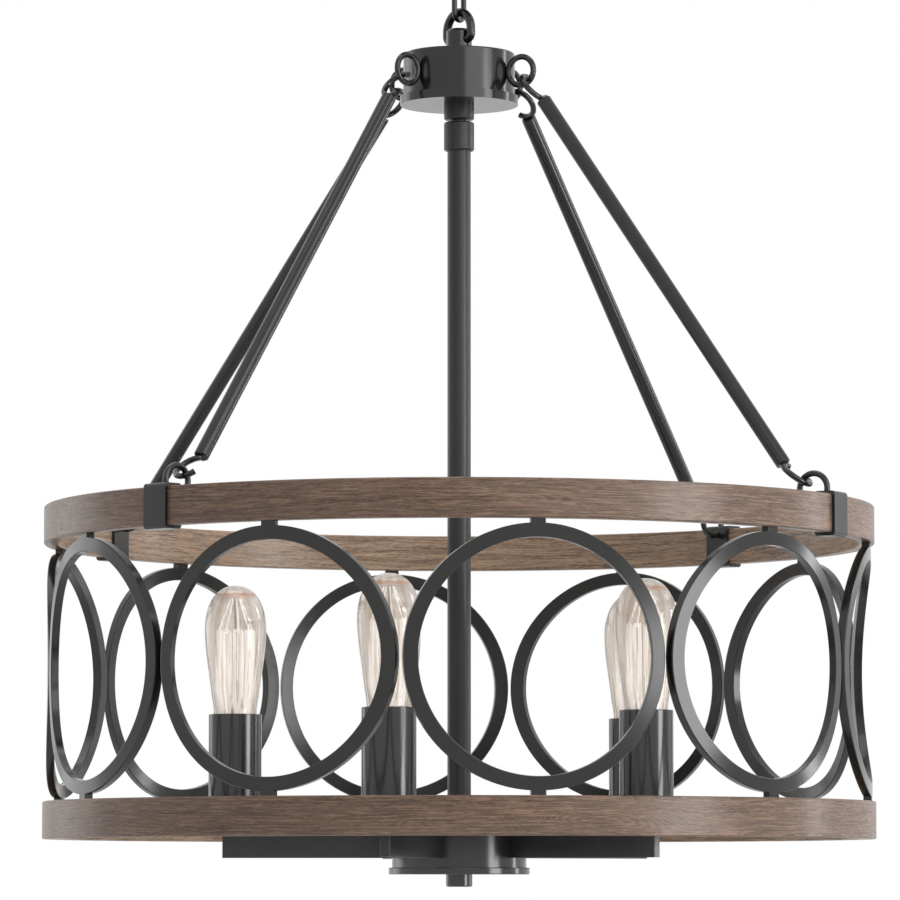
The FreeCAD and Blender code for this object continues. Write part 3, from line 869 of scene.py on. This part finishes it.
@dataclass
class Chain(SubAssembly):
    """Two links and the hub's loop."""

    title: str = "chain"

    def coats(self) -> dict[str, Finish]:
        """Smooth black wire."""
        return dict.fromkeys(("chain_link_upper", "chain_link_lower", "hub_loop"), SMOOTH_BLACK)


@dataclass
class Hub(SubAssembly):
    """Cup, plate, post and eyes, with the tube, nuts and terminals inside."""

    title: str = "hub"

    def coats(self) -> dict[str, Finish]:
        """Black shell, plated fastenings."""
        coats = dict.fromkeys(("hub_post", "hub_cup", "hub_plate", "hub_eyes", "hub_nipple"), SMOOTH_BLACK)
        return coats | {"lock_nuts": ZINC, "terminal_rings": INSULATOR}


@dataclass
class Downrod(SubAssembly):
    """Neck, coupling and tube, with the lead inside."""

    title: str = "downrod"

    def coats(self) -> dict[str, Finish]:
        """Soft black tube."""
        return dict.fromkeys(("neck", "coupling", "downrod"), SOFT_BLACK) | {"downrod_lead": SLEEVE}


@dataclass
class HangingRods(SubAssembly):
    """The rods from the hub to the drum.

    Attributes:
        count: How many rods there are.
    """

    title: str = "hanging rods"
    count: int = 4

    def coats(self) -> dict[str, Finish]:
        """Smooth black bars with their hooks."""
        return {f"rod_{k}": SMOOTH_BLACK for k in range(1, self.count + 1)}


@dataclass
class Drum(SubAssembly):
    """Wooden hoops, clamps and the rings of flat bar between the hoops. Sizes are in metres.

    Attributes:
        ring_count: Rings round the drum.
        first_azimuth: The first ring's place from the front, in degrees.
        hoop_thickness: Wood between a hoop's inner and outer wall.
        ring_radius: A ring's outer radius.
        ring_face: Width of the bar's face.
        ring_thickness: Thickness of the bar.
        ring_edge: Rounding of the bar's edges.
        post_width: Width of the posts between ring and hoop.
        stud_radius: Radius of the studs in the wood.
        stud_length: How far the studs go in.
        ring_steps: Steps round a ring.
        edge_steps: Steps of an edge's rounding.
        stud_sides: Sides of a stud.
        sharp_angle: Faces that meet at more than this, in degrees, show an edge.
    """

    title: str = "drum"
    ring_count: int = 10
    first_azimuth: float = 10.3
    hoop_thickness: float = 0.0104
    ring_radius: float = 0.0834
    ring_face: float = 0.009
    ring_thickness: float = 0.0056
    ring_edge: float = 0.0005
    post_width: float = 0.0096
    stud_radius: float = 0.002
    stud_length: float = 0.010
    ring_steps: int = 180
    edge_steps: int = 2
    stud_sides: int = 20
    sharp_angle: float = 12.0

    def coats(self) -> dict[str, Finish]:
        """Oak hoops and black clamps."""
        return {"upper_hoop": OAK, "lower_hoop": OAK, "clamps": SATIN_BLACK}

    def ring_tree(self) -> ShapeTree:
        """The rule of a ring: a bar round a circle, pressed onto the drum's curve and turned to its place.

        Returns:
            The tree.
        """
        tree = ShapeTree("bent_ring", {"Drum Radius": 0.0, "Ring Radius": 0.0, "Face": 0.0, "Thickness": 0.0,
                                       "Edge": 0.0, "Post Width": 0.0, "Half Gap": 0.0, "Stud Radius": 0.0,
                                       "Stud Length": 0.0, "Middle": 0.0, "Azimuth": 0.0})
        middle_radius = tree.size("Ring Radius") - tree.size("Face") / 2.0
        circle = tree.circle(middle_radius, self.ring_steps)
        upright = tree.node("GeometryNodeTransform", {},
                            {"Geometry": circle, "Rotation": (math.pi / 2, 0.0, 0.0)})
        shapes = [self._swept(tree, upright, tree.size("Face"), tree.size("Thickness"))]
        for way in (-1.0, 1.0):
            near = tree.xyz(0.0, 0.0, way * middle_radius)
            far = tree.xyz(0.0, 0.0, way * tree.size("Half Gap"))
            end = tree.xyz(0.0, 0.0, way * (tree.size("Half Gap") + tree.size("Stud Length")))
            post = tree.line(near, far)
            shapes.append(self._swept(tree, post, tree.size("Post Width"), tree.size("Thickness")))
            stud = tree.circle(tree.size("Stud Radius"), self.stud_sides)
            shapes.append(tree.sweep(tree.line(far, end), stud))
        flat = tree.node("GeometryNodeJoinGeometry", {}, {0: shapes})
        x, y, z = tree.split(tree.node("GeometryNodeInputPosition"))
        wall = tree.size("Drum Radius") + y
        curved = tree.xyz(x, -1.0 * (wall * wall - x * x).math("SQRT"), z + tree.size("Middle"))
        bent = tree.node("GeometryNodeSetPosition", {}, {"Geometry": flat, "Position": curved})
        turned = tree.node("GeometryNodeTransform", {},
                           {"Geometry": bent, "Rotation": tree.xyz(0.0, 0.0, tree.size("Azimuth"))})
        tree.close(turned)
        return tree

    def _swept(self, tree: ShapeTree, path: Wire, width: Wire, thickness: Wire) -> Wire:
        """A flat bar with rounded edges along a path.

        Args:
            tree: The tree to add to.
            path: The curve that the bar follows.
            width: The bar's face.
            thickness: The bar's thickness.

        Returns:
            The bar's mesh.
        """
        section = tree.node("GeometryNodeCurvePrimitiveQuadrilateral", {"mode": "RECTANGLE"},
                            {"Width": width, "Height": thickness})
        rounded = tree.node("GeometryNodeFilletCurve", {"mode": "POLY"},
                            {"Curve": section, "Count": self.edge_steps, "Radius": tree.size("Edge")})
        return tree.sweep(path, rounded)

    def build(self) -> None:
        """Make the rings."""
        upper_low, upper_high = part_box("upper_hoop")
        lower_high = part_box("lower_hoop")[1]
        tree = self.ring_tree()
        for k in range(self.ring_count):
            name = f"ring_{k + 1:02d}"
            azimuth = math.radians(self.first_azimuth + 360.0 / self.ring_count * k)
            piece = tree.make(name + "_bar", {
                "Drum Radius": upper_high.x - self.hoop_thickness / 2, "Ring Radius": self.ring_radius,
                "Face": self.ring_face, "Thickness": self.ring_thickness, "Edge": self.ring_edge,
                "Post Width": self.post_width, "Half Gap": (upper_low.z - lower_high.z) / 2,
                "Stud Radius": self.stud_radius, "Stud Length": self.stud_length,
                "Middle": (upper_low.z + lower_high.z) / 2, "Azimuth": azimuth}, SMOOTH_BLACK)
            piece.data.shade_smooth()
            piece.data.set_sharp_from_angle(angle=math.radians(self.sharp_angle))
            self.place(piece, "cage", SMOOTH_BLACK, name)


@dataclass
class LightCluster(SubAssembly):
    """Wiring box, cover, finial, arms, sockets and what is in them."""

    title: str = "light cluster"

    def coats(self) -> dict[str, Finish]:
        """Black outside, plated and moulded inside."""
        coats = dict.fromkeys(("wiring_box", "box_cover", "finial", "socket_covers"), BRIGHT_BLACK)
        return coats | {"arms": ARM_BLACK, "box_nipple": ZINC, "socket_studs": ZINC, "arm_leads": SLEEVE,
                        "lampholders": INSULATOR}


@dataclass
class Bulbs(SubAssembly):
    """Bulbs with a tapered cream glass, a stem and a cage of filaments. Sizes are in metres.

    Attributes:
        count: How many bulbs there are.
        neck_radius: The glass at the socket's rim.
        waist_radius: The glass at its waist.
        waist_height: Waist above the rim.
        wide_height: Widest place above the rim.
        fullness: How square the crown's shoulder is, where 1 is an ellipse and less is fuller.
        wall: Glass thickness.
        span_steps: Steps from the neck to the waist, and from there to the widest place.
        crown_steps: Steps from the widest place to the crown.
        amber_drop: The amber line below the crown.
        stem_height: The glass stem.
        stem_foot: (radius, height) points of the stem from its foot.
        stem_tip: Points of its tip from the stem's height.
        stem_sides: Steps round the stem.
        mast_radius: The thin rod from the stem to where the support wires gather.
        pin_count: Filament hairpins round the cage.
        pin_share: Width of a hairpin, as a share of its room round the cage.
        pin_points: Points along a hairpin.
        bend_share: The hairpin's bend, as a share of its length.
        cage_radius: Hairpins from the bulb's axis.
        foot_radius: Feet of the hairpins from the bulb's axis.
        foot_share: Width of a hairpin at its foot, as a share of its full width.
        spread_rate: How soon a hairpin is at its full width and radius above its foot.
        cage_low: Foot of the hairpins above the rim.
        cage_high: Top of the hairpins above the rim.
        cage_peak: Where the support wires gather above the rim.
        peak_radius: The small circle that they gather to.
        wire_radius: The filament's wire.
        support_share: Thickness of the support wires, as a share of the filament's.
        wire_sides: Sides of a wire.
    """

    title: str = "bulbs"
    count: int = 5
    neck_radius: float = 0.0145
    waist_radius: float = 0.0166
    waist_height: float = 0.017
    wide_height: float = 0.057
    fullness: float = 0.908
    wall: float = 0.0008
    span_steps: int = 12
    crown_steps: int = 24
    amber_drop: float = 0.0065
    stem_height: float = 0.026
    stem_foot: tuple[Pair, ...] = ((0.0, 0.0), (0.009, 0.0), (0.0085, 0.004), (0.0055, 0.011),
                                   (0.0032, 0.018))
    stem_tip: tuple[Pair, ...] = ((0.0028, -0.002), (0.0020, 0.0), (0.0009, 0.001))
    stem_sides: int = 32
    mast_radius: float = 0.0009
    pin_count: int = 9
    pin_share: float = 0.5
    pin_points: int = 49
    bend_share: float = 1.0 / 12.0
    cage_radius: float = 0.0120
    foot_radius: float = 0.0080
    foot_share: float = 0.3
    spread_rate: float = 3.2
    cage_low: float = -0.003
    cage_high: float = 0.056
    cage_peak: float = 0.078
    peak_radius: float = 0.0034
    wire_radius: float = 0.0010
    support_share: float = 0.4
    wire_sides: int = 6

    def coats(self) -> dict[str, Finish]:
        """The screw bases stay as they are."""
        return {f"bulb_{k}_base": ROLLED_BRASS for k in range(1, self.count + 1)}

    def outline(self, body: str, rim: float, inset: float) -> Outline:
        """The glass from neck to crown.

        Args:
            body: The bulb's body.
            rim: Height of the socket's rim.
            inset: How far the line lies inside the outer face.

        Returns:
            (radius, height) points upwards.
        """
        low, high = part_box(body + "_glass")
        base_low, base_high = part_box(body + "_base")
        radius = (high.x - low.x) / 2
        points = [((base_high.x - base_low.x) / 2 - inset, low.z)]
        slope = (radius - self.neck_radius) / self.wide_height
        neck, waist, widest = ((self.neck_radius, 0.0, 0.0), (self.waist_radius, self.waist_height, slope),
                               (radius, self.wide_height, 0.0))
        for (r0, h0, s0), (r1, h1, s1) in ((neck, waist), (waist, widest)):
            for step in range(self.span_steps):
                t = step / self.span_steps
                reach = h1 - h0
                value = ((2 * t ** 3 - 3 * t ** 2 + 1) * r0 + (t ** 3 - 2 * t ** 2 + t) * reach * s0
                         + (3 * t ** 2 - 2 * t ** 3) * r1 + (t ** 3 - t ** 2) * reach * s1)
                points.append((value - inset, rim + h0 + t * reach))
        wide = rim + self.wide_height
        rise = high.z - wide - inset
        for step in range(self.crown_steps + 1):
            turn = math.pi / 2 * step / self.crown_steps
            points.append(((radius - inset) * math.cos(turn) ** self.fullness,
                           wide + rise * math.sin(turn) ** self.fullness))
        points[-1] = (0.0, points[-1][1])
        return points

    def stem_outline(self, low: float, peak: float) -> Outline:
        """The stem and its rod.

        Args:
            low: Height of the stem's foot.
            peak: Height of the rod's end.

        Returns:
            (radius, height) points upwards.
        """
        top = low + self.stem_height
        points = [(radius, low + height) for radius, height in self.stem_foot]
        points += [(radius, top + height) for radius, height in self.stem_tip]
        return points + [(self.mast_radius, peak), (0.0, peak)]

    def cage_tree(self) -> ShapeTree:
        """The rule of the cage: hairpins and support wires in a circle.

        Returns:
            The tree.
        """
        tree = ShapeTree("filament_cage", {"Pins": 1, "Cage Radius": 0.0, "Foot Radius": 0.0, "Low": 0.0,
                                           "High": 0.0, "Peak": 0.0, "Peak Radius": 0.0, "Half Width": 0.0,
                                           "Wire Radius": 0.0, "Across X": 0.0, "Across Y": 0.0})
        path = tree.node("GeometryNodeResampleCurve", {"mode": "COUNT"},
                         {"Curve": tree.line((0.0, 0.0, 0.0), (0.0, 0.0, 1.0)), "Count": self.pin_points})
        place = 2.0 * tree.node("GeometryNodeSplineParameter", output="Factor") - 1.0
        fall = (place.math("ABSOLUTE") - self.bend_share).clamped() / (1.0 - self.bend_share)
        height = tree.size("High") - (tree.size("High") - tree.size("Low")) * fall
        spread = ((1.0 - fall) * self.spread_rate).clamped()
        reach = tree.size("Foot Radius") + (tree.size("Cage Radius") - tree.size("Foot Radius")) * spread
        opened = self.foot_share + (1.0 - self.foot_share) * spread
        side = tree.size("Half Width") * (place / self.bend_share).clamped(-1.0, 1.0) * opened
        pin = tree.node("GeometryNodeSetPosition", {},
                        {"Geometry": path, "Position": tree.xyz(reach, side, height)})
        support = tree.line(tree.xyz(tree.size("Peak Radius"), 0.0, tree.size("Peak")),
                            tree.xyz(tree.size("Cage Radius"), 0.0, tree.size("High")))
        wires = []
        for curve, share in ((pin, 1.0), (support, self.support_share)):
            wires.append(tree.sweep(curve, tree.circle(share * tree.size("Wire Radius"), self.wire_sides)))
        pattern = tree.node("GeometryNodeJoinGeometry", {}, {0: wires})
        spots = tree.node("GeometryNodeMeshLine", {"mode": "OFFSET"},
                          {"Count": tree.size("Pins"), "Offset": (0.0, 0.0, 0.0)})
        turn = tree.node("GeometryNodeInputIndex") * math.tau / tree.size("Pins")
        around = tree.node("GeometryNodeInstanceOnPoints", {},
                           {"Points": spots, "Instance": pattern, "Rotation": tree.xyz(0.0, 0.0, turn)})
        moved = tree.node("GeometryNodeTransform", {},
                          {"Geometry": around,
                           "Translation": tree.xyz(tree.size("Across X"), tree.size("Across Y"), 0.0)})
        tree.close(moved)
        return tree

    def make_bulb(self, number: int, tree: ShapeTree) -> None:
        """Make one bulb's glass, stem and filaments.

        Args:
            number: Which socket it is in.
            tree: The rule of its cage.
        """
        body = f"bulb_{number}"
        low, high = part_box(body + "_glass")
        centre = (low + high) / 2
        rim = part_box("socket_covers")[1].z
        cream = CreamGlass(f"cream_glass_{number}", "bulb_glass", axis=(centre.x, centre.y),
                           line_height=high.z - self.amber_drop)
        outer = self.outline(body, rim, 0.0)
        inner = self.outline(body, rim, self.wall)
        glass = lathe(body + "_blown_glass", outer + inner[::-1], centre, True, cream)
        self.place(glass, body, cream, body + "_glass")
        profile = self.stem_outline(low.z, rim + self.cage_peak)
        stem = lathe(body + "_stem", profile, centre, False, cream, self.stem_sides)
        self.place(stem, body, cream)
        half_room = self.cage_radius * math.pi / self.pin_count
        cage = tree.make(body + "_cage", {
            "Pins": self.pin_count, "Cage Radius": self.cage_radius, "Foot Radius": self.foot_radius,
            "Low": rim + self.cage_low, "High": rim + self.cage_high,
            "Peak": rim + self.cage_peak, "Peak Radius": self.peak_radius,
            "Half Width": half_room * self.pin_share, "Wire Radius": self.wire_radius,
            "Across X": centre.x, "Across Y": centre.y}, FILAMENT)
        cage.data.shade_smooth()
        self.place(cage, body, FILAMENT, body + "_filament")

    def build(self) -> None:
        """Make the bulbs in order."""
        tree = self.cage_tree()
        for number in range(1, self.count + 1):
            self.make_bulb(number, tree)


@dataclass(frozen=True)
class SoftBox:
    """One studio light.

    Attributes:
        name: Its name.
        azimuth: Its place round the lamp from the front, in degrees.
        elevation: Its height above the lamp, in degrees.
        distance: How far off it stands, in metres.
        size: Width and height of its face.
        level: How bright its face is, where the white surround is 1.
    """

    name: str
    azimuth: float
    elevation: float
    distance: float
    size: Pair
    level: float

    def build(self, aim: Vector) -> None:
        """Make the light.

        Args:
            aim: The point that it faces.
        """
        turn, tilt = math.radians(self.azimuth), math.radians(self.elevation)
        away = Vector((math.sin(turn) * math.cos(tilt), -math.cos(turn) * math.cos(tilt), math.sin(tilt)))
        lamp = bpy.data.lights.new(self.name, "AREA")
        lamp.shape = "RECTANGLE"
        lamp.size, lamp.size_y = self.size
        lamp.energy = self.level * math.pi * self.size[0] * self.size[1]
        light = add_object(self.name, lamp)
        light.location = aim + away * self.distance
        light.rotation_euler = (-away).to_track_quat("-Z", "Y").to_euler()


@dataclass
class Studio:
    """Pale floor, white surround, soft lights and the photograph's camera.

    Attributes:
        floor_drop: The floor below the lamp, in metres.
        floor_radius: The floor's radius.
        floor_sides: Sides of the floor.
        floor_colour: The floor as it takes light.
        floor_paleness: How far the floor shows white to the eye, over its shadow.
        surround: The surround's light on the object, where white is 1.
        lens: Focal length in millimetres.
        sensor: Width of the camera's sensor in millimetres.
        stand: The camera's place.
        pitch: How far the camera looks up, in degrees.
        yaw: How far it turns left.
        boxes: The lights.
    """

    floor_drop: float = 2.2
    floor_radius: float = 150.0
    floor_sides: int = 96
    floor_colour: Colour = (0.86, 0.86, 0.86, 1.0)
    floor_paleness: float = 0.88
    surround: float = 0.42
    lens: float = 204.87
    sensor: float = 36.0
    stand: Point = (0.0, -3.45713, -0.70968)
    pitch: float = 4.8307
    yaw: float = 0.1024
    boxes: list[SoftBox] = field(default_factory=lambda: [
        SoftBox("front_right", 37.0, 24.0, 3.2, (2.9, 1.9), 1.9),
        SoftBox("side_strip", 61.0, 0.0, 3.0, (1.0, 1.3), 7.2),
        SoftBox("back_left", -126.0, 8.0, 3.2, (1.4, 2.0), 1.0),
        SoftBox("right_strip", 109.0, 8.0, 3.0, (0.25, 2.4), 8.5),
        SoftBox("overhead", 0.0, 88.0, 2.8, (2.2, 2.2), 1.5),
    ])

    def seen_by_eye(self, sheet: Sheet) -> Wire:
        """Tell the rays that show the surround: straight, mirrored or through glass.

        Args:
            sheet: The node sheet of the floor or the surround.

        Returns:
            1 for these rays, or else 0.
        """
        straight = sheet.node("ShaderNodeLightPath", output="Is Camera Ray")
        shown = straight.math("MAXIMUM", straight.sibling("Is Glossy Ray"))
        return shown.math("MAXIMUM", straight.sibling("Is Transmission Ray"))

    def build_surround(self) -> None:
        """White to the eye, softer as light."""
        world = bpy.data.worlds.new("white_surround")
        world.use_nodes = True
        bpy.context.scene.world = world
        sheet = Sheet(world.node_tree)
        level = self.surround + (1.0 - self.surround) * self.seen_by_eye(sheet)
        sky = sheet.node("ShaderNodeBackground", {}, {"Color": WHITE, "Strength": level})
        sheet.node("ShaderNodeOutputWorld", {}, {"Surface": sky})

    def build_floor(self) -> None:
        """A pale round floor well below the lamp."""
        height = CAD_BOX[0][2] - self.floor_drop
        radius = self.floor_radius
        turns = [math.tau * k / self.floor_sides for k in range(self.floor_sides)]
        rim = [(radius * math.cos(turn), radius * math.sin(turn), height) for turn in turns]
        mesh = bpy.data.meshes.new("floor")
        mesh.from_pydata(rim, [], [tuple(range(self.floor_sides))])
        material = bpy.data.materials.new("pale_floor")
        material.use_nodes = True
        sheet = Sheet(material.node_tree)
        plain = sheet.node("ShaderNodeBsdfDiffuse", {}, {"Color": self.floor_colour})
        pale = sheet.node("ShaderNodeEmission", {}, {"Color": WHITE, "Strength": 1.0})
        shown = self.floor_paleness * self.seen_by_eye(sheet)
        surface = sheet.node("ShaderNodeMixShader", {}, {0: shown, 1: plain, 2: pale})
        sheet.node("ShaderNodeOutputMaterial", {}, {"Surface": surface})
        mesh.materials.append(material)
        floor = add_object("floor", mesh)

    def build_camera(self) -> None:
        """The photograph's view: a long lens a little below the drum."""
        data = bpy.data.cameras.new("camera")
        data.lens = self.lens
        data.sensor_width = self.sensor
        camera = add_object("camera", data)
        camera.location = self.stand
        camera.rotation_euler = (math.radians(90.0 + self.pitch), 0.0, math.radians(self.yaw))
        bpy.context.scene.camera = camera

    def build(self) -> None:
        """Set the whole studio."""
        aim = (Vector(CAD_BOX[0]) + Vector(CAD_BOX[1])) / 2
        self.build_surround()
        self.build_floor()
        for box in self.boxes:
            box.build(aim)
        self.build_camera()
        bpy.context.scene.view_settings.view_transform = "Standard"


def main() -> None:
    """Dress the lamp and set the studio."""
    logging.basicConfig(level=logging.INFO, format="%(message)s")
    groups: list[SubAssembly] = [CeilingFitting(), Chain(), Hub(), Downrod(), HangingRods(), Drum(),
                                 LightCluster(), Bulbs()]
    for group in groups:
        group.dress()
    Studio().build()


if __name__ == "__main__":
    main()
